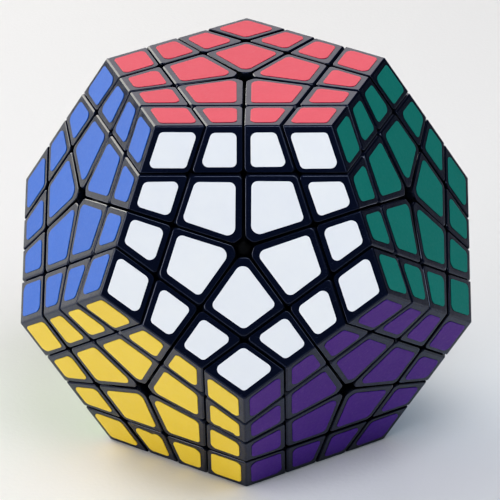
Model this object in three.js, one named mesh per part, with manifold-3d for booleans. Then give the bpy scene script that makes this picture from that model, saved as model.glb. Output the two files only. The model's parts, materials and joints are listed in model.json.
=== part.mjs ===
// A twelve-sided twisty puzzle with four pieces along every edge, standing on its bottom face.
// The origin is the centre of the dodecahedron, +Z is the normal of the top face, -Y is the front.
// Every face turns about its own normal; the front upper face also turns two layers at once.
import * as THREE from "three";
import { mergeVertices } from "three/addons/utils/BufferGeometryUtils.js";
import Module from "manifold-3d";

const wasm = await Module();
wasm.setup();

// Driving dimensions, in millimetres.
const EDGE_LENGTH = 42; // edge of the whole dodecahedron
const LAYER_DEPTH = 10.3; // thickness of an outer layer
const SEAM_GAP = 0.4; // clearance between neighbouring pieces
const PIT_RADIUS = 2; // open pit in the middle of a face, where five centre pieces meet
const HUB_CLEARANCE = 0.4; // between a hub and the centre pieces that ride over it

// Distances along an axis, from the puzzle's centre, and radii around that axis.
const CORE_RADIUS = 11;
const ARM = { radius: 3.2, end: 22, boreStart: 13.5, boreRadius: 1.5 };
const HUB = { start: 22.5, floor: 25, shoulder: 32, end: 43, radius: 7 };
const NOSE_RADIUS = PIT_RADIUS - HUB_CLEARANCE; // the end of a hub, which shows in the pit
const HUB_CAVITY = { radius: 4.2, holeRadius: 1.6, end: 34.4 };
const SPRING = { start: 25.9, end: 30.1, coilRadius: 2.9, wireRadius: 0.4, turns: 4 };
const SCREW = { tip: 14, headStart: 30.9, headEnd: 33.4, shankRadius: 1.2, headRadius: 3.5 };
const SCREW_SLOT = { width: 0.8, length: 5, depth: 0.9 };

// Proportions of a regular dodecahedron.
const NEIGHBOUR_COSINE = 1 / Math.sqrt(5); // between the normals of two faces that share an edge
const FIFTH_TURN = (2 * Math.PI) / 5;
const INRADIUS = (EDGE_LENGTH / 2) * Math.sqrt((25 + 11 * Math.sqrt(5)) / 10);
const FACE_TILT = Math.acos(NEIGHBOUR_COSINE);
const CORNER_TILT = Math.acos(Math.sqrt((5 + 2 * Math.sqrt(5)) / 15)); // face normal to corner axis
const EVERYWHERE = 6 * INRADIUS; // side of a box that holds the puzzle wherever it is put

// Cuts of a layer, as heights along its axis.
const OUTER_CUT = INRADIUS - LAYER_DEPTH;
const DEEP_CUT = INRADIUS * NEIGHBOUR_COSINE;

// Facet counts.
const ROUND_SEGMENTS = 20;
const SWEEP_SEGMENTS = 60;
const SWEEP_STEPS = 8;
const SWEEP_OVERRUN = 1.25; // length of the swept wall, as a share of the seam that sweeps it
const SPRING_STEPS_PER_TURN = 12;
const WIRE_SIDES = 6;

const UP = new THREE.Vector3(0, 0, 1);
const ROUNDING = 0.01; // cosines closer than this are the same angle

// The direction that leans away from the vertical by tilt, turned from the front towards +X.
function direction(tilt, turn) {
  const lean = Math.sin(tilt);
  return new THREE.Vector3(lean * Math.sin(turn), -lean * Math.cos(turn), Math.cos(tilt));
}

// Face normals by sticker colour: the top, five upper faces, five lower faces and the bottom.
const normals = { red: UP, orange: UP.clone().negate() };
["white", "green", "cream", "pink", "blue"].forEach((colour, i) => {
  normals[colour] = direction(FACE_TILT, i * FIFTH_TURN);
});
["purple", "sky", "grey", "lime", "yellow"].forEach((colour, i) => {
  normals[colour] = direction(Math.PI - FACE_TILT, (i + 0.5) * FIFTH_TURN);
});

function areNeighbours(a, b) {
  return Math.abs(normals[a].dot(normals[b]) - NEIGHBOUR_COSINE) < ROUNDING;
}

// Every corner as its three faces, anticlockwise as seen from outside.
function listCorners() {
  const names = Object.keys(normals);
  const corners = [];
  names.forEach((a, i) => {
    names.slice(i + 1).forEach((b, j) => {
      names.slice(i + j + 2).forEach((c) => {
        if (!areNeighbours(a, b) || !areNeighbours(b, c) || !areNeighbours(a, c)) return;
        const turn = normals[a].clone().cross(normals[b]).dot(normals[c]);
        corners.push(turn > 0 ? [a, b, c] : [a, c, b]);
      });
    });
  });
  return corners;
}

// The same three faces in the same order, starting with the named one.
function startingWith(face, corner) {
  const i = corner.indexOf(face);
  return [...corner.slice(i), ...corner.slice(0, i)];
}

// The five corners of a face, with that face first.
function layerCorners(face) {
  return listCorners().filter((c) => c.includes(face)).map((c) => startingWith(face, c));
}

// Turns the standard corner frame, corner axis along +Z and first face over +X, onto three faces.
function cornerPlacement([first, second, third]) {
  const z = normals[first].clone().add(normals[second]).add(normals[third]).normalize();
  const x = normals[first].clone().projectOnPlane(z).normalize();
  const y = z.clone().cross(x);
  const basis = new THREE.Matrix4().makeBasis(x, y, z);
  return new THREE.Quaternion().setFromRotationMatrix(basis);
}

// ---- Solids: three.js geometry in and out, manifold-3d for joining and cutting ----

function toSolid(geometry) {
  const bare = geometry.clone();
  bare.deleteAttribute("normal");
  bare.deleteAttribute("uv");
  const merged = mergeVertices(bare);
  const vertProperties = merged.attributes.position.array;
  const triVerts = new Uint32Array(merged.index.array);
  return new wasm.Manifold(new wasm.Mesh({ numProp: 3, vertProperties, triVerts }));
}

function toGeometry(solid) {
  const { vertProperties, triVerts } = solid.getMesh();
  const geometry = new THREE.BufferGeometry();
  geometry.setAttribute("position", new THREE.BufferAttribute(vertProperties, 3));
  geometry.setIndex(new THREE.BufferAttribute(triVerts, 1));
  const faceted = geometry.toNonIndexed();
  faceted.computeVertexNormals();
  return faceted;
}

function common(first, ...others) {
  return others.reduce((solid, other) => solid.intersect(other), first);
}

function joined(first, ...others) {
  return others.reduce((solid, other) => solid.add(other), first);
}

// Geometry made along +Z, turned to point along the normal.
function facing(normal, geometry) {
  return geometry.applyQuaternion(new THREE.Quaternion().setFromUnitVectors(UP, normal));
}

// All the space beyond a plane, as a box large enough to hold the puzzle.
function beyond(normal, height) {
  const box = new THREE.BoxGeometry(EVERYWHERE, EVERYWHERE, EVERYWHERE);
  box.translate(0, 0, EVERYWHERE / 2 + height);
  return toSolid(facing(normal, box));
}

function under(normal, height) {
  return beyond(normal.clone().negate(), -height);
}

// A profile of [radius, height] points turned about +Z.
function turned(profile, segments = ROUND_SEGMENTS) {
  const points = profile.map(([radius, height]) => new THREE.Vector2(radius, height));
  return new THREE.LatheGeometry(points, segments).rotateX(Math.PI / 2);
}

// ---- Cubies, in the standard corner frame ----

// The normals of the three faces, the first over +X.
const cornerFaces = [0, 1, 2].map((i) => {
  return direction(CORNER_TILT, Math.PI / 2 + (i * 2 * Math.PI) / 3);
});
const aboveCut = cornerFaces.map((normal) => beyond(normal, OUTER_CUT + SEAM_GAP / 2));
const belowCut = cornerFaces.map((normal) => under(normal, OUTER_CUT - SEAM_GAP / 2));
const outsideCore = cornerFaces.map((normal) => under(normal, OUTER_CUT + SEAM_GAP / 2));

// The seven cubies of one corner as a single block that reaches in to the puzzle's centre.
function wholeBlock() {
  const skins = cornerFaces.map((normal) => under(normal, INRADIUS));
  const seams = cornerFaces.map((normal, i) => {
    const across = normal.clone().cross(cornerFaces[(i + 1) % 3]).normalize();
    return beyond(across, SEAM_GAP / 2);
  });
  const pits = cornerFaces.map((normal) => {
    const pit = turned([
      [0, HUB.shoulder],
      [HUB.radius + HUB_CLEARANCE, HUB.shoulder],
      [PIT_RADIUS, HUB.end],
      [PIT_RADIUS, 2 * INRADIUS],
      [0, 2 * INRADIUS],
    ]);
    return toSolid(facing(normal, pit));
  });
  return pits.reduce((solid, pit) => solid.subtract(pit), common(...skins, ...seams));
}

const block = wholeBlock();
const [inFirst, inSecond, inThird] = aboveCut;
const [offFirst, offSecond, offThird] = belowCut;

const cornerCubie = toGeometry(common(block, inFirst, inSecond, inThird));
const edgeCubie = toGeometry(common(block, inFirst, inSecond, offThird));
const centreCubie = toGeometry(common(block, inFirst, offSecond, offThird));

// The corner, two edge pieces and centre piece of an outer layer, where its face comes first.
const outerSector = toGeometry(common(block, inFirst));

// The edge piece and two centre pieces left under an outer layer.
const innerSector = common(block, offFirst).subtract(common(outsideCore[1], outsideCore[2]));

// The same pieces, trimmed so that they turn as a second layer.
const secondLayer = beyond(cornerFaces[0], DEEP_CUT + SEAM_GAP / 2);
const turningInnerSector = toGeometry(common(innerSector, secondLayer));

// All seven cubies of a corner with no cut between them.
const fullSector = block.subtract(common(...outsideCore));

// The space that two turning layers sweep about the axis of the named face. Its wall is the
// surface that the straight seam, from a neighbour's middle to the edge beyond, sweeps round.
function sweptByTwoLayers(face) {
  const [, left, right] = layerCorners(face)[0];
  const middle = normals[left].clone().multiplyScalar(INRADIUS);
  const edge = middle.clone().add(normals[right].clone().multiplyScalar(INRADIUS));
  edge.divideScalar(1 + NEIGHBOUR_COSINE);
  const floor = DEEP_CUT - SEAM_GAP / 2;
  const profile = [[0, floor]];
  for (let step = 0; step <= SWEEP_STEPS; step += 1) {
    const point = middle.clone().lerp(edge, (SWEEP_OVERRUN * step) / SWEEP_STEPS);
    const height = step === 0 ? floor : point.dot(normals[face]);
    profile.push([point.projectOnPlane(normals[face]).length() + SEAM_GAP / 2, height]);
  }
  profile.push([0, profile.at(-1)[1]]);
  return facing(normals[face], turned(profile, SWEEP_SEGMENTS));
}

// ---- Mechanism, along +Z ----

function boredArm() {
  return turned([
    [0, 0],
    [ARM.radius, 0],
    [ARM.radius, ARM.end],
    [ARM.boreRadius, ARM.end],
    [ARM.boreRadius, ARM.boreStart],
    [0, ARM.boreStart],
  ]);
}

// An arm whose hub stays with the core, screwed down.
function fixedArm() {
  return turned([
    [0, 0],
    [ARM.radius, 0],
    [ARM.radius, HUB.start],
    [HUB.radius, HUB.start],
    [HUB.radius, HUB.shoulder],
    [NOSE_RADIUS, HUB.end],
    [0, HUB.end],
  ]);
}

function coreGeometry(turningFaces) {
  const ball = toSolid(new THREE.SphereGeometry(CORE_RADIUS, ROUND_SEGMENTS, ROUND_SEGMENTS / 2));
  const arms = Object.keys(normals).map((face) => {
    const arm = turningFaces.includes(face) ? boredArm() : fixedArm();
    return toSolid(facing(normals[face], arm));
  });
  return toGeometry(joined(ball, ...arms));
}

// A cup round the screw, with its pointed cap pressed in. The spring sits on its floor.
function hubGeometry() {
  return turned([
    [0, HUB_CAVITY.end],
    [HUB_CAVITY.radius, HUB_CAVITY.end],
    [HUB_CAVITY.radius, HUB.floor],
    [HUB_CAVITY.holeRadius, HUB.floor],
    [HUB_CAVITY.holeRadius, HUB.start],
    [HUB.radius, HUB.start],
    [HUB.radius, HUB.shoulder],
    [NOSE_RADIUS, HUB.end],
    [0, HUB.end],
  ]);
}

class Helix extends THREE.Curve {
  getPoint(t, target = new THREE.Vector3()) {
    const angle = 2 * Math.PI * SPRING.turns * t;
    const height = SPRING.start + t * (SPRING.end - SPRING.start);
    return target.set(SPRING.coilRadius * Math.cos(angle), SPRING.coilRadius * Math.sin(angle), height);
  }
}

function springGeometry() {
  const corners = Array.from({ length: WIRE_SIDES }, (_, side) => {
    const angle = (2 * Math.PI * side) / WIRE_SIDES;
    return new THREE.Vector2(Math.cos(angle), Math.sin(angle)).multiplyScalar(SPRING.wireRadius);
  });
  const wire = new THREE.Shape(corners);
  const steps = SPRING.turns * SPRING_STEPS_PER_TURN;
  return new THREE.ExtrudeGeometry(wire, { steps, extrudePath: new Helix(), bevelEnabled: false });
}

function screwGeometry() {
  const body = turned([
    [0, SCREW.tip],
    [SCREW.shankRadius, SCREW.tip],
    [SCREW.shankRadius, SCREW.headStart],
    [SCREW.headRadius, SCREW.headStart],
    [SCREW.headRadius, SCREW.headEnd],
    [0, SCREW.headEnd],
  ]);
  const bar = new THREE.BoxGeometry(SCREW_SLOT.length, SCREW_SLOT.width, 2 * SCREW_SLOT.depth);
  bar.translate(0, 0, SCREW.headEnd);
  const crossBar = bar.clone().rotateZ(Math.PI / 2);
  return toGeometry(toSolid(body).subtract(toSolid(bar)).subtract(toSolid(crossBar)));
}

// ---- Assembly ----

const paint = {
  shell: { color: 0x15161a, roughness: 0.35, metalness: 0 },
  mechanism: { color: 0x222327, roughness: 0.5, metalness: 0 },
  steel: { color: 0xb4b6ba, roughness: 0.3, metalness: 1 },
};

function place(parent, name, geometry, finish, quaternion = new THREE.Quaternion()) {
  const mesh = new THREE.Mesh(geometry, new THREE.MeshStandardMaterial(paint[finish]));
  mesh.name = name;
  mesh.quaternion.copy(quaternion);
  parent.add(mesh);
}

// The twenty cubies of an outer layer, each on its own.
function looseLayer(face) {
  const layer = new THREE.Group();
  layerCorners(face).forEach((corner) => {
    const [, second, third] = corner;
    const placement = cornerPlacement(corner);
    const otherEdge = cornerPlacement([third, face, second]);
    place(layer, `corner_${face}_${second}_${third}`, cornerCubie, "shell", placement);
    place(layer, `edge_${face}_${second}_by_${third}`, edgeCubie, "shell", placement);
    place(layer, `edge_${face}_${third}_by_${second}`, edgeCubie, "shell", otherEdge);
    place(layer, `centre_${face}_by_${second}_${third}`, centreCubie, "shell", placement);
  });
  return layer;
}

// Five sectors, one at each corner of the face.
function sectorLayer(face, label, geometry) {
  const layer = new THREE.Group();
  layerCorners(face).forEach((corner) => {
    const [, second, third] = corner;
    const placement = cornerPlacement(corner);
    place(layer, `${label}_${second}_${third}`, geometry, "shell", placement);
  });
  return layer;
}

// What stays still round the turning faces, cleared for the face that turns two layers.
function fixedShell(twoLayerFace, oneLayerFaces) {
  const shell = new THREE.Group();
  const swept = sweptByTwoLayers(twoLayerFace);
  const still = listCorners().filter((c) => !c.includes(twoLayerFace));
  still.forEach((corner) => {
    const turning = oneLayerFaces.find((face) => corner.includes(face));
    const faces = turning ? startingWith(turning, corner) : corner;
    const placement = cornerPlacement(faces);
    const clearance = toSolid(swept.clone().applyQuaternion(placement.clone().invert()));
    const sector = (turning ? innerSector : fullSector).subtract(clearance);
    place(shell, `fixed_block_${faces.join("_")}`, toGeometry(sector), "shell", placement);
  });
  return shell;
}

// The hub, spring and screw of a turning face.
function mechanism(face) {
  const axis = new THREE.Group();
  axis.quaternion.setFromUnitVectors(UP, normals[face]);
  place(axis, `hub_${face}`, hubGeometry(), "mechanism");
  place(axis, `spring_${face}`, springGeometry(), "steel");
  place(axis, `screw_${face}`, screwGeometry(), "steel");
  return axis;
}

const turningFaces = ["white", "orange", "cream"];
const puzzle = new THREE.Group();
place(puzzle, "core", coreGeometry(turningFaces), "mechanism");
turningFaces.forEach((face) => puzzle.add(mechanism(face)));
puzzle.add(looseLayer("white"));
puzzle.add(sectorLayer("white", "second_layer_white", turningInnerSector));
puzzle.add(sectorLayer("orange", "bottom_layer", outerSector));
puzzle.add(sectorLayer("cream", "cream_layer", outerSector));
puzzle.add(fixedShell("white", ["orange", "cream"]));

export default puzzle;
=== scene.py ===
"""Looks of the twelve-sided twisty puzzle: moulded black cubies, vinyl stickers and the mechanism.

Each of the twenty corners of the dodecahedron holds seven cubies: a corner piece, three edge
pieces and three centre pieces. All are made here as rounded mouldings from the planes that cut
them, and ride on the bodies of the CAD model. The core and the hubs are turned afresh with
eased corners. The CAD springs and screws stay.
"""

import itertools
import json
import math
import random

import bmesh
import bpy
from mathutils import Matrix, Vector


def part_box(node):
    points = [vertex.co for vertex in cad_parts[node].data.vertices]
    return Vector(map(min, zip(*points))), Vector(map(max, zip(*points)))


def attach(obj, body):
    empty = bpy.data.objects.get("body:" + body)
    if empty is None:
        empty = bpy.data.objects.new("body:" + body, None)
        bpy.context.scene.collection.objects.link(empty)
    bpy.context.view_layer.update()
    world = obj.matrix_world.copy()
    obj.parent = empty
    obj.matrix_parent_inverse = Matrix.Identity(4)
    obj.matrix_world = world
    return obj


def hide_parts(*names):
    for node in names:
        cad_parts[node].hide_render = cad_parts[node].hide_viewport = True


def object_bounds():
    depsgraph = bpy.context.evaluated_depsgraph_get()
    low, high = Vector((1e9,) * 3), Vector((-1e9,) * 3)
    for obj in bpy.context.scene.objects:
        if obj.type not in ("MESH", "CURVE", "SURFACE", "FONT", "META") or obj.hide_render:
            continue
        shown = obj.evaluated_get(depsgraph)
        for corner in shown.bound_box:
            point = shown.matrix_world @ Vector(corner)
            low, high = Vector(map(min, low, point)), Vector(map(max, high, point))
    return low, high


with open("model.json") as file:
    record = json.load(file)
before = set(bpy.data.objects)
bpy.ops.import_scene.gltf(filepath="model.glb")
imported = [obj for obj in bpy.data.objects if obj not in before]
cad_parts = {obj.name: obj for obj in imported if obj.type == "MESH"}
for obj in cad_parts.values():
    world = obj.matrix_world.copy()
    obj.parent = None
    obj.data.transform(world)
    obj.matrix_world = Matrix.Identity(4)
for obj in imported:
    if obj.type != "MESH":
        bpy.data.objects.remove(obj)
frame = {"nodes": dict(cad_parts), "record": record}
cad_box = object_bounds()

MM = 0.001  # named lengths below are in millimetres, the scene is in metres

# ---- Driving sizes ----

NEIGHBOUR_COSINE = 1 / math.sqrt(5)  # between the normals of two faces that share an edge
FACE_TILT = math.acos(NEIGHBOUR_COSINE)
CORNER_TILT = math.acos(math.sqrt((5 + 2 * math.sqrt(5)) / 15))  # face normal to corner axis
FIFTH_TURN = 2 * math.pi / 5
THIRD_TURN = 2 * math.pi / 3

SEAM_GAP = 0.4 * MM  # clearance between neighbouring cubies
INRADIUS = cad_box[1].z
LAYER_TOP = -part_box("bottom_layer_sky_purple")[1].z
OUTER_CUT = LAYER_TOP - SEAM_GAP / 2  # height of an outer layer's cut, along the layer's axis
DEEP_CUT = INRADIUS * NEIGHBOUR_COSINE  # the same for the cut under two layers

WALL_ROUNDING = 1.15 * MM  # rounded upright edges of a cubie
TIP_ROUNDING = 0.7 * MM  # the same where a centre piece's tip is cut blunt
EDGE_ROUNDING = 0.42 * MM  # all other edges
PIT_REACH = 2.15 * MM  # from the middle of a face to the blunt tips of its centre pieces
WALL_SEGMENTS = 5
EDGE_SEGMENTS = 3
BEVEL_PROFILE = 0.5  # round
SMOOTH_ANGLE = math.radians(40)
FLAT_FACE_WEIGHT = 100  # big faces decide the normals of the rounded edges beside them
SHORTEST_EDGE = 0.001 * MM
NORMALS_TOLERANCE = 0.01  # on the cosine between the normals of two faces
SMALLEST_DETERMINANT = 1e-6  # of three planes that meet in one point

SCOOP_OVERRUN = 1.25  # length of a scoop's wall, as a share of the seam that sweeps it
SCOOP_STEPS = 12
SCOOP_SEGMENTS = 120

# The mechanism: radii about a face's axis, and heights along it.
CORE_RADIUS = 11 * MM
ARM_RADIUS = 3.2 * MM
HUB_START = -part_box("hub_orange")[1].z
HUB_SHOULDER = 32 * MM
HUB_END = -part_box("hub_orange")[0].z
HUB_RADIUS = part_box("hub_orange")[1].x
NOSE_RADIUS = 1.6 * MM
CAVITY = {"hole": 1.6 * MM, "radius": 4.2 * MM, "floor": 25 * MM, "end": 34.4 * MM}
HUB_OUTSIDE = [
    (HUB_RADIUS, HUB_START),
    (HUB_RADIUS, HUB_SHOULDER),
    (NOSE_RADIUS, HUB_END),
    (0, HUB_END),
]
TURNED_EASING = 0.5 * MM
TURNED_SEGMENTS = 64

CUBIE_TURN = math.radians(0.3)  # largest play of a cubie in its place
CUBIE_SHIFT = 0.08 * MM
STICKER_TURN = math.radians(0.9)  # largest misplacement of a hand-laid sticker
STICKER_SHIFT = 0.13 * MM

STICKER = {
    "thickness": 0.14 * MM,
    "sunk": 0.04 * MM,
    "rim": 0.06 * MM,
    "margins": {"corner": 1.5 * MM, "edge": 1.69 * MM, "centre": 1.74 * MM},
    "rounding": 1.3 * MM,
    "tip_rounding": 1.75 * MM,
    "softness": (0.8, 1.2),  # the least and most of its rounding that a corner gets
}
# The torn stickers of edge cubies, by the cubie's corner and the skin under the sticker: which
# side is torn, and how far it draws back at even steps along it, in mm.
TEARS = {
    ("yellow", "purple", "white", "a"): ("middle_ab", [0.1, 0.34, 0.12, 0.16, 0.3, 0.4, 0.42, 0.5]),
    ("orange", "yellow", "lime", "b"): ("floor_a", [0.12, 0.42, 0.5, 0.3, 0.22, 0.12, 0.2, 0.05]),
}
STICKER_CORNERS = 4
ARC_STEP = math.radians(12)  # between the points of a rounded corner

seed = random.Random(12)


# ---- Directions and places ----

def direction(tilt, turn):
    """Leans away from the vertical by tilt, turned from the front towards +X."""
    lean = math.sin(tilt)
    return Vector((lean * math.sin(turn), -lean * math.cos(turn), math.cos(tilt)))


NORMALS = {"red": Vector((0, 0, 1)), "orange": Vector((0, 0, -1))}
for ring_place, colour in enumerate(["white", "green", "cream", "pink", "blue"]):
    NORMALS[colour] = direction(FACE_TILT, ring_place * FIFTH_TURN)
for ring_place, colour in enumerate(["purple", "sky", "grey", "lime", "yellow"]):
    NORMALS[colour] = direction(math.pi - FACE_TILT, (ring_place + 0.5) * FIFTH_TURN)

# The three face normals of the standard corner frame: corner axis along +Z, first over +X.
FACES = [direction(CORNER_TILT, math.pi / 2 + i * THIRD_TURN) for i in range(3)]


def are_neighbours(a, b):
    cosine = NORMALS[a].dot(NORMALS[b])
    return math.isclose(cosine, NEIGHBOUR_COSINE, abs_tol=NORMALS_TOLERANCE)


def list_corners():
    """Every corner as its three faces, anticlockwise as seen from outside."""
    corners = []
    for a, b, c in itertools.combinations(NORMALS, 3):
        if are_neighbours(a, b) and are_neighbours(b, c) and are_neighbours(a, c):
            anticlockwise = NORMALS[a].cross(NORMALS[b]).dot(NORMALS[c]) > 0
            corners.append((a, b, c) if anticlockwise else (a, c, b))
    return corners


def starting_with(face, corner):
    i = corner.index(face)
    return corner[i:] + corner[:i]


def corner_placement(corner):
    """Turns the standard corner frame onto three faces."""
    first, second, third = (NORMALS[face] for face in corner)
    z = (first + second + third).normalized()
    x = (first - z * first.dot(z)).normalized()
    return Matrix((x, z.cross(x), z)).transposed().to_4x4()


def across(a, b):
    """Along the edge between two faces, towards the corner."""
    return a.cross(b).normalized()


def face_axes(normal, towards):
    """Two directions in the plane of a face, the first one towards a direction."""
    u = (towards - normal * towards.dot(normal)).normalized()
    return u, normal.cross(u)


# ---- Cubies, in the standard corner frame ----

def cubie_walls(kind, gap):
    """A cubie's planes by name, each as a normal and the height that the cubie stays under."""
    a, b, c = FACES
    above = OUTER_CUT + gap / 2
    under = OUTER_CUT - gap / 2
    if kind == "corner":
        return {
            "skin_a": (a, INRADIUS),
            "skin_b": (b, INRADIUS),
            "skin_c": (c, INRADIUS),
            "floor_a": (-a, -above),
            "floor_b": (-b, -above),
            "floor_c": (-c, -above),
        }
    if kind == "edge":
        return {
            "skin_a": (a, INRADIUS),
            "skin_b": (b, INRADIUS),
            "floor_a": (-a, -above),
            "floor_b": (-b, -above),
            "wall_c": (c, under),
            "middle_ab": (-across(a, b), -gap / 2),
        }
    outwards, _ = face_axes(a, b + c)
    return {
        "skin_a": (a, INRADIUS),
        "floor_a": (-a, -above),
        "wall_b": (b, under),
        "wall_c": (c, under),
        "middle_ab": (-across(a, b), -gap / 2),
        "middle_ca": (-across(c, a), -gap / 2),
        "tip": (-outwards, -PIT_REACH),
    }


UPRIGHT_EDGES = {
    "corner": [("floor_a", "floor_b"), ("floor_b", "floor_c"), ("floor_a", "floor_c")],
    "edge": [
        ("floor_b", "wall_c"),
        ("floor_b", "middle_ab"),
        ("floor_a", "wall_c"),
        ("floor_a", "middle_ab"),
    ],
    "centre": [
        ("wall_b", "wall_c"),
        ("wall_b", "middle_ab"),
        ("wall_c", "middle_ca"),
    ],
}
TIP_EDGES = [("tip", "middle_ab"), ("tip", "middle_ca")]


def meeting_point(planes):
    """The point on three planes, or None where they have no single one."""
    rows = Matrix([normal for normal, height in planes])
    if abs(rows.determinant()) < SMALLEST_DETERMINANT:
        return None
    return rows.inverted() @ Vector([height for normal, height in planes])


def solid_between(walls):
    """The convex solid inside all the walls, with each face's wall as its material number."""
    near = SHORTEST_EDGE
    points = []
    for trio in itertools.combinations(walls.values(), 3):
        point = meeting_point(trio)
        if point is None or any(n.dot(point) > height + near for n, height in walls.values()):
            continue
        if all((point - other).length > near for other in points):
            points.append(point)
    mesh = bmesh.new()
    verts = [mesh.verts.new(point) for point in points]
    for number, (normal, height) in enumerate(walls.values()):
        ring = [v for v in verts if abs(normal.dot(v.co) - height) < near]
        centre = sum((v.co for v in ring), Vector()) / len(ring)
        u, v_axis = face_axes(normal, ring[0].co - centre)
        ring.sort(key=lambda v: math.atan2((v.co - centre).dot(v_axis), (v.co - centre).dot(u)))
        mesh.faces.new(ring).material_index = number
    return mesh


def edges_between(mesh, walls, pairs):
    """The edges where two named walls meet."""
    numbers = {name: number for number, name in enumerate(walls)}
    wanted = [{numbers[a], numbers[b]} for a, b in pairs]
    return [e for e in mesh.edges if {f.material_index for f in e.link_faces} in wanted]


def round_edges(mesh, edges, size, segments):
    bmesh.ops.bevel(
        mesh,
        geom=edges,
        offset=size,
        offset_type="OFFSET",
        segments=segments,
        profile=BEVEL_PROFILE,
        affect="EDGES",
        clamp_overlap=True,
        material=-1,
    )


def trim(mesh, normal, height):
    """Takes away what lies under a plane, and closes the cut."""
    geom = mesh.verts[:] + mesh.edges[:] + mesh.faces[:]
    cut = bmesh.ops.bisect_plane(
        mesh, geom=geom, plane_co=normal * height, plane_no=normal, clear_inner=True
    )
    loop = [e for e in cut["geom_cut"] if isinstance(e, bmesh.types.BMEdge)]
    bmesh.ops.holes_fill(mesh, edges=loop)


def turned(axis, profile, segments):
    """A surface turned about an axis, from a profile of radius and height. It is a closed solid
    if the profile starts and ends on the axis."""
    u, v = face_axes(axis, axis.orthogonal())
    mesh = bmesh.new()
    rings = []
    for radius, height in profile:
        angles = [2 * math.pi * k / segments for k in range(segments if radius > 0 else 1)]
        rings.append([
            mesh.verts.new(axis * height + (u * math.cos(angle) + v * math.sin(angle)) * radius)
            for angle in angles
        ])
    for low, high in itertools.pairwise(rings):
        for k in range(segments):
            here, there = k, (k + 1) % segments
            if len(low) == 1:
                mesh.faces.new((low[0], high[there], high[here]))
            elif len(high) == 1:
                mesh.faces.new((low[here], low[there], high[0]))
            else:
                mesh.faces.new((low[here], low[there], high[there], high[here]))
    bmesh.ops.recalc_face_normals(mesh, faces=mesh.faces)
    return mesh


def scoop(axis, start, end):
    """The space that two turning layers sweep about an axis. Its wall is the surface that the
    straight seam from start to end sweeps round."""
    profile = [(0, DEEP_CUT - SEAM_GAP / 2)]
    for step in range(SCOOP_STEPS + 1):
        point = start.lerp(end, SCOOP_OVERRUN * step / SCOOP_STEPS)
        height = point.dot(axis) if step else DEEP_CUT - SEAM_GAP / 2
        profile.append(((point - axis * point.dot(axis)).length, height))
    profile.append((0, profile[-1][1]))
    return turned(axis, profile, SCOOP_SEGMENTS)


def scoops_of(kind):
    """The scoops that let the layers beyond a cubie's middle seams turn past it."""
    a, b, c = FACES
    seams = {"corner": [], "edge": [(a, b, c)], "centre": [(a, b, c), (a, c, b)]}[kind]
    solids = []
    for own, beside, third in seams:
        edge_direction = across(own, beside)
        axis = third - edge_direction * (2 * third.dot(edge_direction))
        middle = own * INRADIUS
        edge = (own + beside) * INRADIUS / (1 + NEIGHBOUR_COSINE)
        solids.append(scoop(axis, middle, edge))
    return solids


def stored(name, mesh):
    """What has been built, as data that an object can hold."""
    data = bpy.data.meshes.new(name)
    mesh.to_mesh(data)
    mesh.free()
    return data


def linked(name, data):
    """A new object in the scene."""
    thing = bpy.data.objects.new(name, data)
    bpy.context.scene.collection.objects.link(thing)
    return thing


def scratch_object(name, mesh):
    """An object for the modifiers to work on, which is forgotten afterwards."""
    return linked(name, stored(name, mesh))


def with_modifiers_applied(thing):
    graph = bpy.context.evaluated_depsgraph_get()
    return bpy.data.meshes.new_from_object(thing.evaluated_get(graph))


def forget(*things):
    for thing in things:
        data = thing.data
        bpy.data.objects.remove(thing)
        bpy.data.meshes.remove(data)


def without_slivers(data):
    """Merges the points that a boolean leaves closer together than any real edge is long."""
    mesh = bmesh.new()
    mesh.from_mesh(data)
    bmesh.ops.remove_doubles(mesh, verts=mesh.verts, dist=SHORTEST_EDGE)
    mesh.to_mesh(data)
    mesh.free()
    return data


def shade_smoothly(data):
    """Smooth shading over the rounded edges only: big flat faces keep their own normals."""
    data.shade_smooth()
    data.set_sharp_from_angle(angle=SMOOTH_ANGLE)
    thing = linked("shading", data)
    weighted = thing.modifiers.new("weighted", "WEIGHTED_NORMAL")
    weighted.keep_sharp = True
    weighted.weight = FLAT_FACE_WEIGHT
    bpy.context.view_layer.update()
    shaded = with_modifiers_applied(thing)
    forget(thing)
    return shaded


def cubie_mesh(kind):
    """A rounded moulding, scooped out where other layers turn past it."""
    walls = cubie_walls(kind, SEAM_GAP)
    mesh = solid_between(walls)
    round_edges(mesh, edges_between(mesh, walls, UPRIGHT_EDGES[kind]), WALL_ROUNDING, WALL_SEGMENTS)
    if kind == "centre":
        round_edges(mesh, edges_between(mesh, walls, TIP_EDGES), TIP_ROUNDING, WALL_SEGMENTS)
    sharp = [e for e in mesh.edges if e.calc_face_angle() > SMOOTH_ANGLE]
    round_edges(mesh, sharp, EDGE_ROUNDING, EDGE_SEGMENTS)
    if kind == "centre":
        for normal in FACES[1:]:
            trim(mesh, normal, DEEP_CUT + SEAM_GAP / 2)
    for face in mesh.faces:
        face.material_index = 0
    bmesh.ops.recalc_face_normals(mesh, faces=mesh.faces)
    body = scratch_object(f"{kind}_moulding", mesh)
    cutters = []
    for solid in scoops_of(kind):
        cutters.append(scratch_object(f"{kind}_scoop", solid))
        cut = body.modifiers.new("scoop", "BOOLEAN")
        cut.operation = "DIFFERENCE"
        cut.solver = "EXACT"
        cut.object = cutters[-1]
    bpy.context.view_layer.update()
    data = with_modifiers_applied(body)
    forget(body, *cutters)
    shaded = shade_smoothly(data)
    shaded.name = f"{kind}_cubie"
    return shaded


# ---- Mechanism ----

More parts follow.
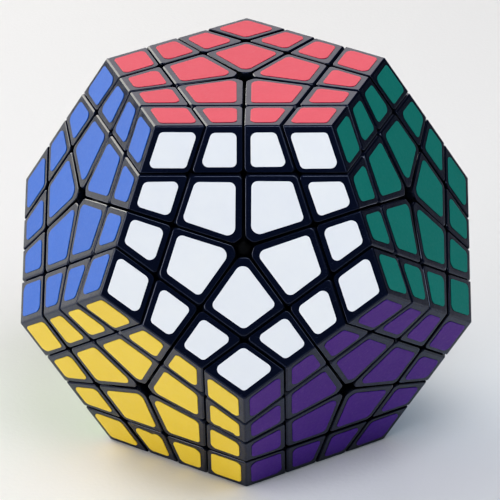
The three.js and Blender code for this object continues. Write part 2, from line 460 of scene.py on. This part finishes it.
def eased(profile):
    """A profile to be turned, with its corners rounded off. Its ends stay on the axis."""
    points = [Vector(point) for point in profile]
    outline = points[:1]
    for before, corner, after in zip(points, points[1:], points[2:]):
        start = corner + (before - corner).normalized() * TURNED_EASING
        end = corner + (after - corner).normalized() * TURNED_EASING
        for step in range(EDGE_SEGMENTS + 1):
            t = step / EDGE_SEGMENTS
            outline.append(start * (1 - t) ** 2 + corner * 2 * t * (1 - t) + end * t ** 2)
    return outline + points[-1:]


def hub_mesh(face):
    """A cup round the screw and its spring, with a pointed cap that shows in the pit."""
    cavity = [
        (0, CAVITY["end"]),
        (CAVITY["radius"], CAVITY["end"]),
        (CAVITY["radius"], CAVITY["floor"]),
        (CAVITY["hole"], CAVITY["floor"]),
        (CAVITY["hole"], HUB_START),
    ]
    shell = turned(NORMALS[face], eased(cavity + HUB_OUTSIDE), TURNED_SEGMENTS)
    return shade_smoothly(stored(f"hub_{face}_turning", shell))


def core_mesh(turning_faces):
    """A ball with twelve arms. The hubs of the faces that don't turn are part of it."""
    steps = TURNED_SEGMENTS // 2 - 1
    angles = [math.pi * step / steps - math.pi / 2 for step in range(1, steps)]
    arc = [(CORE_RADIUS * math.cos(angle), CORE_RADIUS * math.sin(angle)) for angle in angles]
    ball = turned(NORMALS["red"], [(0, -CORE_RADIUS), *arc, (0, CORE_RADIUS)], TURNED_SEGMENTS)
    body = scratch_object("core_ball", ball)
    arms = []
    for face, normal in NORMALS.items():
        arm_end = HUB_START - SEAM_GAP
        bare = [(0, 0), (ARM_RADIUS, 0), (ARM_RADIUS, arm_end), (0, arm_end)]
        with_hub = [(0, 0), (ARM_RADIUS, 0), (ARM_RADIUS, HUB_START), *HUB_OUTSIDE]
        profile = bare if face in turning_faces else with_hub
        arms.append(scratch_object(f"arm_{face}", turned(normal, eased(profile), TURNED_SEGMENTS)))
        join = body.modifiers.new("join", "BOOLEAN")
        join.operation = "UNION"
        join.solver = "EXACT"
        join.object = arms[-1]
    bpy.context.view_layer.update()
    data = with_modifiers_applied(body)
    forget(body, *arms)
    return shade_smoothly(without_slivers(data))


# ---- Stickers ----

def rounded_outline(lines, radii):
    """A convex outline as an arc for each corner, anticlockwise. A line is the direction of its
    outward normal, as an angle, and its distance from the origin."""
    arcs = []
    for i, (angle, distance) in enumerate(lines):
        next_angle, next_distance = lines[(i + 1) % len(lines)]
        turn = (next_angle - angle) % (2 * math.pi)
        steps = max(2, round(turn / ARC_STEP))
        rows = Matrix((
            (math.cos(angle), math.sin(angle)),
            (math.cos(next_angle), math.sin(next_angle)),
        ))
        centre = rows.inverted() @ Vector((distance - radii[i], next_distance - radii[i]))
        headings = [angle + turn * step / steps for step in range(steps + 1)]
        arcs.append([centre + radii[i] * Vector((math.cos(h), math.sin(h))) for h in headings])
    return arcs


def torn(start, end, angle, depths):
    """Points between two arcs, drawn back from the side that faces the given way."""
    inwards = -Vector((math.cos(angle), math.sin(angle)))
    steps = len(depths) + 1
    return [start.lerp(end, k / steps) + inwards * depth * MM for k, depth in enumerate(depths, 1)]


def sticker_ring(kind, letter, inset, height, softness=(1,) * STICKER_CORNERS, tear=None):
    """The outline of a sticker over the named skin of a cubie, eased in and raised."""
    walls = cubie_walls(kind, 0)
    normal = FACES["abc".index(letter)]
    u, v = face_axes(normal, FACES["bca".index(letter)])
    margin = STICKER["margins"][kind] + inset
    lines = []
    for name, (wall_normal, reach) in walls.items():
        if name == "tip" or name.endswith("_" + letter):
            continue
        flat = Vector((wall_normal.dot(u), wall_normal.dot(v)))
        distance = (reach - INRADIUS * wall_normal.dot(normal)) / flat.length - margin
        lines.append((math.atan2(flat.y, flat.x) % (2 * math.pi), distance, name))
    lines.sort()
    radii = []
    for here, there, share in zip(lines, lines[1:] + lines[:1], softness, strict=True):
        at_tip = {here[2], there[2]} == {"middle_ab", "middle_ca"}
        radii.append(STICKER["tip_rounding" if at_tip else "rounding"] * share - inset)
    arcs = rounded_outline([line[:2] for line in lines], radii)
    outline = []
    for arc, next_arc, (angle, _, side) in zip(arcs, arcs[1:] + arcs[:1], lines[1:] + lines[:1]):
        outline += arc
        if tear and side == tear[0]:
            outline += torn(arc[-1], next_arc[0], angle, tear[1])
    middle = normal * (INRADIUS + height)
    return [middle + u * point.x + v * point.y for point in outline]


def add_sticker(mesh, kind, letter, placement, tear):
    """A thin slab with an eased rim, laid on the named skin of a cubie and sunk a little in."""
    rim = STICKER["rim"]
    top = STICKER["thickness"]
    tone = mesh.verts.layers.float["tone"]
    this_tone = seed.random()
    softness = [seed.uniform(*STICKER["softness"]) for _ in range(STICKER_CORNERS)]
    section = [(0, -STICKER["sunk"]), (0, top - rim), (rim / 3, top - rim / 3), (rim, top)]
    rings = []
    for inset, height in section:  # from the sunk edge up over the rim
        points = sticker_ring(kind, letter, inset, height, softness, tear)
        rings.append([mesh.verts.new(placement @ point) for point in points])
    for vert in itertools.chain(*rings):
        vert[tone] = this_tone
    count = len(rings[0])
    for low, high in itertools.pairwise(rings):
        for k in range(count):
            there = (k + 1) % count
            mesh.faces.new((low[k], low[there], high[there], high[k]))
    mesh.faces.new(list(reversed(rings[0])))
    mesh.faces.new(rings[-1])


def new_sheet():
    """An empty mesh for stickers, with a value at each point for the tone of its sticker."""
    sheet = bmesh.new()
    sheet.verts.layers.float.new("tone")
    return sheet


def misplaced(centre, turn_limit, shift_limit, normal=None):
    """A small random turn about a centre and a small shift; with a normal, both in its plane."""
    axis = normal or Vector([seed.uniform(-1, 1) for _ in range(3)]).normalized()
    shift = Vector([seed.uniform(-1, 1) for _ in range(3)]) * shift_limit
    if normal:
        shift -= normal * shift.dot(normal)
    turn = Matrix.Rotation(seed.uniform(-turn_limit, turn_limit), 4, axis)
    return Matrix.Translation(centre + shift) @ turn @ Matrix.Translation(-centre)


# ---- Materials ----

PLASTIC_IOR = 1.42
NYLON_IOR = 1.5


class Finish:
    """A procedural material on one Principled shader, built node by node."""

    def __init__(self, name):
        self.material = bpy.data.materials.new(name)
        self.material.use_nodes = True
        self.tree = self.material.node_tree
        self.shader = next(n for n in self.tree.nodes if n.type == "BSDF_PRINCIPLED")
        self.place = self.tree.nodes.new("ShaderNodeTexCoord").outputs["Object"]

    def node(self, kind, inputs=None, **settings):
        made = self.tree.nodes.new(kind)
        for key, value in settings.items():
            setattr(made, key, value)
        for key, value in (inputs or {}).items():
            self.feed(made.inputs[key], value)
        return made

    def feed(self, socket, value):
        if isinstance(value, bpy.types.NodeSocket):
            self.tree.links.new(value, socket)
        else:
            socket.default_value = value

    def noise(self, scale, detail=3.0, roughness=0.5, stretch=None):
        """Noise with this many features to a metre of the puzzle."""
        place = self.place
        if stretch:
            place = self.node("ShaderNodeMapping", {"Vector": place, "Scale": stretch}).outputs[0]
        inputs = {"Vector": place, "Scale": scale, "Detail": detail, "Roughness": roughness}
        return self.node("ShaderNodeTexNoise", inputs).outputs["Fac"]

    def ramp(self, value, low, high, low_out=0.0, high_out=1.0):
        """Takes one range of values to another, and holds its ends beyond it."""
        inputs = {
            "Value": value,
            "From Min": low,
            "From Max": high,
            "To Min": low_out,
            "To Max": high_out,
        }
        return self.node("ShaderNodeMapRange", inputs).outputs["Result"]

    def blend(self, factor, first, second):
        mixer = self.node("ShaderNodeMix", data_type="RGBA", blend_type="MIX")
        self.feed(mixer.inputs["Factor"], factor)
        self.feed(mixer.inputs["A"], first)
        self.feed(mixer.inputs["B"], second)
        return mixer.outputs["Result"]

    def sum(self, first, second):
        return self.node("ShaderNodeMath", {0: first, 1: second}, operation="ADD").outputs[0]

    def bump(self, height, distance, under=None):
        inputs = {"Height": height, "Distance": distance, "Strength": 1.0}
        if under:
            inputs["Normal"] = under
        return self.node("ShaderNodeBump", inputs).outputs[0]

    def surface(self, settings):
        """Sets inputs of the shader, and gives the finished material."""
        for key, value in settings.items():
            self.feed(self.shader.inputs[key], value)
        return self.material


def linear(colour):
    """An sRGB hex colour as linear red, green and blue, and a full alpha."""
    parts = [int(colour[i:i + 2], 16) / 255 for i in (1, 3, 5)]
    return [p / 12.92 if p <= 0.04045 else ((p + 0.055) / 1.055) ** 2.4 for p in parts] + [1.0]


def plastic_finish():
    """Glossy black moulding, a little scuffed, with handling marks that change its gloss."""
    made = Finish("shell_plastic")
    clouds = made.noise(90.0, detail=4.0, roughness=0.6)
    smudges = made.noise(260.0, detail=5.0, roughness=0.65)
    grain = made.noise(5200.0, detail=2.0, roughness=0.6)
    scratches = made.noise(900.0, detail=3.0, roughness=0.7, stretch=(1.0, 9.0, 2.5))
    fine_lines = made.ramp(scratches, 0.60, 0.66)
    base = made.blend(clouds, linear("#121a2b"), linear("#171f33"))
    base = made.blend(made.ramp(smudges, 0.58, 0.8, high_out=0.3), base, linear("#222a39"))
    base = made.blend(made.ramp(fine_lines, 0.0, 1.0, high_out=0.08), base, linear("#3a3d45"))
    rough = made.ramp(smudges, 0.3, 0.7, low_out=0.12, high_out=0.24)
    rough = made.sum(rough, made.ramp(fine_lines, 0.0, 1.0, high_out=0.12))
    waves = made.bump(made.noise(420.0, detail=2.0, roughness=0.4), 0.03 * MM)
    relief = made.bump(grain, 0.006 * MM, under=waves)
    return made.surface({
        "Base Color": base,
        "Roughness": rough,
        "Normal": relief,
        "IOR": PLASTIC_IOR,
    })


def vinyl_finish(name, base_colour, deep_colour):
    """Printed vinyl: even colour with faint mottling, a satin skin and a light orange peel."""
    made = Finish(name)
    tone = made.node("ShaderNodeAttribute", attribute_name="tone").outputs["Fac"]
    mottle = made.noise(160.0, detail=4.0, roughness=0.6)
    fibres = made.noise(1500.0, detail=3.0, roughness=0.6)
    wear = made.noise(700.0, detail=4.0, roughness=0.7, stretch=(1.0, 6.0, 2.0))
    scuffs = made.ramp(wear, 0.62, 0.70)
    own_shade = made.ramp(tone, 0.0, 1.0, high_out=0.5)
    shade = made.sum(own_shade, made.ramp(mottle, 0.3, 0.7, high_out=0.4))
    base = made.blend(shade, linear(base_colour), linear(deep_colour))
    base = made.blend(made.ramp(scuffs, 0.0, 1.0, high_out=0.10), base, linear("#f2f2f2"))
    rough = made.ramp(fibres, 0.25, 0.75, low_out=0.46, high_out=0.60)
    rough = made.sum(rough, made.ramp(scuffs, 0.0, 1.0, high_out=0.1))
    peel = made.bump(made.noise(1100.0, detail=2.0, roughness=0.5), 0.02 * MM)
    relief = made.bump(made.noise(6000.0, detail=2.0, roughness=0.5), 0.004 * MM, under=peel)
    return made.surface({
        "Base Color": base,
        "Roughness": rough,
        "Normal": relief,
        "IOR": PLASTIC_IOR,
    })


def nylon_finish():
    """Matt dark grey nylon of the core and the hubs, with greasy patches."""
    made = Finish("mechanism_plastic")
    grease = made.noise(240.0, detail=4.0, roughness=0.6)
    grain = made.noise(2600.0, detail=3.0, roughness=0.6)
    base = made.blend(made.ramp(grease, 0.35, 0.7), linear("#17181b"), linear("#26282c"))
    base = made.blend(made.ramp(grain, 0.55, 0.8, high_out=0.3), base, linear("#3a3c40"))
    return made.surface({
        "Base Color": base,
        "Roughness": made.ramp(grease, 0.3, 0.7, low_out=0.34, high_out=0.62),
        "Normal": made.bump(grain, 0.02 * MM),
        "IOR": NYLON_IOR,
    })


def steel_finish():
    """Plated steel wire and screws, drawn along their length and a little tarnished."""
    made = Finish("steel")
    drawn = made.noise(1200.0, detail=4.0, roughness=0.6, stretch=(1.0, 1.0, 0.12))
    tarnish = made.noise(320.0, detail=4.0, roughness=0.65)
    base = made.blend(made.ramp(tarnish, 0.45, 0.75), linear("#b9bbbf"), linear("#8b8880"))
    return made.surface({
        "Base Color": base,
        "Metallic": 1.0,
        "Roughness": made.ramp(drawn, 0.3, 0.7, low_out=0.18, high_out=0.38),
        "Normal": made.bump(drawn, 0.01 * MM),
    })


VINYL = {  # the printed colour of each face, and the deeper one that it is mottled with
    "white": ("#f3f6f7", "#ebeff5"),
    "red": ("#ea5161", "#e04a59"),
    "blue": ("#225cbb", "#1e56b2"),
    "green": ("#0a7e72", "#0a786c"),
    "purple": ("#582e8b", "#532b84"),
    "yellow": ("#e9c945", "#e2c03e"),
    "orange": ("#e8761f", "#df6e1a"),
    "pink": ("#ea86a8", "#e27d9f"),
    "cream": ("#efe3b4", "#e8daa8"),
    "lime": ("#82b158", "#7ba951"),
    "sky": ("#55add8", "#4da4d0"),
    "grey": ("#989ba0", "#8f9297"),
}
plastic = plastic_finish()
nylon = nylon_finish()
steel = steel_finish()
vinyl = {name: vinyl_finish(f"sticker_{name}", *VINYL[name]) for name in VINYL}


# ---- Assembly ----

def named_nodes(corner):
    """Which CAD node holds a cubie of this corner, as a function of the cubie's own faces."""
    if "white" in corner:
        first, second, third = starting_with("white", corner)
        loose = {
            frozenset(corner): f"corner_white_{second}_{third}",
            frozenset((first, second)): f"edge_white_{second}_by_{third}",
            frozenset((first, third)): f"edge_white_{third}_by_{second}",
            frozenset((first,)): f"centre_white_by_{second}_{third}",
        }
        return lambda faces: loose.get(frozenset(faces), f"second_layer_white_{second}_{third}")
    for turning, label in (("orange", "bottom_layer"), ("cream", "cream_layer")):
        if turning in corner:
            first, second, third = starting_with(turning, corner)
            layer = f"{label}_{second}_{third}"
            block = f"fixed_block_{first}_{second}_{third}"
            return lambda faces: layer if turning in faces else block
    return lambda faces: "fixed_block_" + "_".join(corner)


body_of_node = {
    node: body
    for body, nodes in frame["record"]["behaviour"]["bodies"].items()
    for node in nodes
}
sheets = {}  # stickers of one face that ride on one body, together


def add_cubie(kind, corner, face_count, node):
    """A cubie on its body, with a sticker on each of its faces: the first ones of the corner."""
    body = body_of_node[node]
    placement = corner_placement(corner)
    data = cubie_meshes[kind].copy()
    data.transform(placement)
    middle = sum((v.co for v in data.vertices), Vector()) / len(data.vertices)
    play = misplaced(middle, CUBIE_TURN, CUBIE_SHIFT)
    data.transform(play)
    data.name = f"{kind}_piece_{'_'.join(corner)}"
    piece = linked(data.name, data)
    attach(piece, body)
    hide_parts(node)
    for letter, face, normal in list(zip("abc", corner, FACES))[:face_count]:
        ring = sticker_ring(kind, letter, 0, 0)
        slip = misplaced(sum(ring, Vector()) / len(ring), STICKER_TURN, STICKER_SHIFT, normal)
        sheet = sheets.setdefault((face, body), new_sheet())
        tear = TEARS.get((*corner, letter)) if kind == "edge" else None
        add_sticker(sheet, kind, letter, play @ placement @ slip, tear)


cubie_meshes = {kind: cubie_mesh(kind) for kind in ("corner", "edge", "centre")}
for mesh in cubie_meshes.values():
    mesh.materials.append(plastic)

for corner in list_corners():
    node_for = named_nodes(corner)
    add_cubie("corner", corner, 3, node_for(corner))
    for face in corner:
        own_first = starting_with(face, corner)
        add_cubie("edge", own_first, 2, node_for(own_first[:2]))
        add_cubie("centre", own_first, 1, node_for(own_first[:1]))

for (face, body), sheet in sheets.items():
    data = stored(f"{face}_stickers_{body}", sheet)
    data.materials.append(vinyl[face])
    stickers = linked(data.name, data)
    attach(stickers, body)

turning = [name.removeprefix("hub_") for name in frame["nodes"] if name.startswith("hub_")]
inner_meshes = {f"hub_{face}": hub_mesh(face) for face in turning} | {"core": core_mesh(turning)}
for node, data in inner_meshes.items():
    data.name = f"{node}_moulding"
    data.materials.append(nylon)
    piece = linked(data.name, data)
    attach(piece, body_of_node[node])
    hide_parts(node)

for name, node in frame["nodes"].items():
    if name.startswith(("spring", "screw")):
        node.material_slots[0].material = steel


# ---- Studio ----

CAMERA = {
    "lens": 353.7,  # mm
    "sensor": 36,
    "azimuth": 0.8,  # degrees
    "elevation": 25.92,
    "roll": 0.46,
    "distance": 25.82,  # in inradii of the puzzle, as the next one
    "aim_right": 0.019,
    "nearest": 0.05,  # metres
    "farthest": 50,
}
FILM_TOE = [(0.03, 0.014), (0.12, 0.115)]  # scene tones, and what the film makes of them
COMBINED_CURVE = 3  # the one for all colours, after those for red, green and blue

# Sizes of the floor and of the cove over it, in metres.
FLOOR = {"radius": 6.0, "segments": 96}
COVE = {
    "lift": 0.0005,
    "start": 0.45,  # where it starts to show
    "solid": 0.95,  # where it hides the floor
    "foot": 2.6,  # where it starts to rise
    "rounding": 1.2,
    "height": 5.0,
    "steps": 12,
    "segments": 96,
}

# Name, direction from the puzzle, distance, size, level and colour of each softbox.
SOFTBOXES = [
    ("left_softbox", (-1.0, 0.0, 0.5), 1.2, 0.8, 0.25, (1.02, 0.99, 0.95)),
    ("back_left_softbox", (-0.6, 0.7, 0.4), 1.2, 0.8, 0.65, (1.03, 1.0, 0.9)),
    ("front_left_softbox", (-0.8, -0.55, 0.25), 1.0, 0.6, 0.51, (1.0, 0.99, 1.01)),
    ("front_softbox", (0.1, -0.45, 0.88), 1.2, 0.5, 0.25, (0.93, 0.99, 1.1)),
    ("near_softbox", (0.5, -0.35, 0.79), 0.42, 0.3, 0.36, (0.94, 1.0, 1.08)),
    ("back_softbox", (0.0, 0.8, 0.6), 1.2, 0.8, 0.18, (1.02, 0.96, 1.04)),
]
TENT_SIDE = (-0.6, 0.8, 0.0)  # towards the bright side of the tent
TENT_EDGE = 0.2  # how far round to that side the cloth starts to be lit
TENT_LEVEL = 0.39
TENT_COLOUR = (1.01, 1.0, 0.95, 1.0)


def looking_back_from(place):
    """Turns a camera or a lamp in this direction to face the puzzle."""
    return place.to_track_quat("Z", "Y").to_matrix().to_4x4()


def add_camera():
    """Looks down a little on the front, from far enough away to flatten the perspective."""
    camera = linked("camera", bpy.data.cameras.new("camera"))
    camera.data.sensor_width = CAMERA["sensor"]
    camera.data.lens = CAMERA["lens"]
    camera.data.clip_start = CAMERA["nearest"]
    camera.data.clip_end = CAMERA["farthest"]
    azimuth = math.radians(CAMERA["azimuth"])
    elevation = math.radians(CAMERA["elevation"])
    back = direction(math.pi / 2 - elevation, azimuth)
    aim = Vector((CAMERA["aim_right"], 0, 0)) * INRADIUS
    place = aim + back * CAMERA["distance"] * INRADIUS
    roll = Matrix.Rotation(math.radians(-CAMERA["roll"]), 4, "Z")
    camera.matrix_world = Matrix.Translation(place) @ looking_back_from(back) @ roll
    bpy.context.scene.camera = camera


def add_softbox(name, towards, distance, size, level, colour):
    """A square area light that faces the puzzle. Its level is the brightness that it would
    give to a white card in the puzzle's place."""
    lamp = bpy.data.lights.new(name, "AREA")
    lamp.shape = "SQUARE"
    lamp.size = size
    lamp.energy = level * (math.pi * distance) ** 2
    lamp.color = colour
    place = Vector(towards).normalized() * distance
    linked(name, lamp).matrix_world = Matrix.Translation(place) @ looking_back_from(place)


def add_floor():
    """A wide round sheet of pale card under the puzzle."""
    mesh = bmesh.new()
    bmesh.ops.create_circle(
        mesh, cap_ends=True, radius=FLOOR["radius"], segments=FLOOR["segments"]
    )
    floor = linked("floor", stored("floor", mesh))
    floor.location.z = cad_box[0].z
    made = Finish("floor_card")
    patches = made.noise(3.0, detail=2.0)
    card = made.surface({
        "Base Color": made.blend(patches, linear("#efefef"), linear("#f2f2f2")),
        "Normal": made.bump(made.noise(900.0, detail=3.0), 0.05 * MM),
        "Roughness": 0.8,
    })
    floor.data.materials.append(card)


def add_backdrop():
    """A pale cloth cove that fades in over the floor and rises behind low views. It glows evenly,
    with faint painted shade of cloth folds. It is there for the camera alone, and neither
    lights nor shades."""
    level = cad_box[0].z + COVE["lift"]
    profile = [(COVE["start"], level)]
    for step in range(COVE["steps"] + 1):
        angle = math.pi / 2 * step / COVE["steps"]
        radius = COVE["foot"] + COVE["rounding"] * math.sin(angle)
        profile.append((radius, level + COVE["rounding"] * (1 - math.cos(angle))))
    profile.append((radius, COVE["height"]))
    cove = linked("backdrop", stored("backdrop", turned(NORMALS["red"], profile, COVE["segments"])))
    cove.data.shade_smooth()
    for rays in ("diffuse", "glossy", "transmission", "volume_scatter", "shadow"):
        setattr(cove, f"visible_{rays}", False)
    made = Finish("backdrop_cloth")
    # painted shade of cloth folds: the glow is a little brighter in some broad patches and darker
    # in others
    painted_fold_shade = made.noise(0.6, detail=2.0)
    far = made.node("ShaderNodeVectorMath", {0: made.place}, operation="LENGTH").outputs["Value"]
    cloth = made.surface({
        "Alpha": made.ramp(far, COVE["start"], COVE["solid"]),
        "Emission Color": made.blend(painted_fold_shade, linear("#e2e3e6"), linear("#e8e9ec")),
        "Base Color": linear("#000000"),
        "Emission Strength": 1.0,
        "Roughness": 1.0,
    })
    cove.data.materials.append(cloth)


def light_the_room():
    """A tent of white cloth, lit from behind at its back left side and dark elsewhere."""
    world = bpy.data.worlds.new("tent")
    world.use_nodes = True
    bpy.context.scene.world = world
    nodes = world.node_tree.nodes
    links = world.node_tree.links
    background = next(n for n in nodes if n.type == "BACKGROUND")
    towards = nodes.new("ShaderNodeTexCoord").outputs["Generated"]
    side = nodes.new("ShaderNodeVectorMath")
    side.operation = "DOT_PRODUCT"
    links.new(towards, side.inputs[0])
    side.inputs[1].default_value = TENT_SIDE
    lit = nodes.new("ShaderNodeMapRange")
    lit.interpolation_type = "SMOOTHSTEP"
    links.new(side.outputs["Value"], lit.inputs["Value"])
    lit.inputs["From Min"].default_value = TENT_EDGE
    lit.inputs["To Max"].default_value = TENT_LEVEL
    links.new(lit.outputs["Result"], background.inputs["Strength"])
    background.inputs["Color"].default_value = TENT_COLOUR


def set_film():
    """Plain colours, with a soft toe that deepens the darkest tones as a print does."""
    settings = bpy.context.scene.view_settings
    settings.view_transform = "Standard"
    settings.use_curve_mapping = True
    curve = settings.curve_mapping.curves[COMBINED_CURVE]
    for tone, printed in FILM_TOE:
        curve.points.new(tone, printed)
    settings.curve_mapping.update()


add_camera()
add_floor()
add_backdrop()
light_the_room()
for name, *settings in SOFTBOXES:
    add_softbox(name, *settings)
set_film()
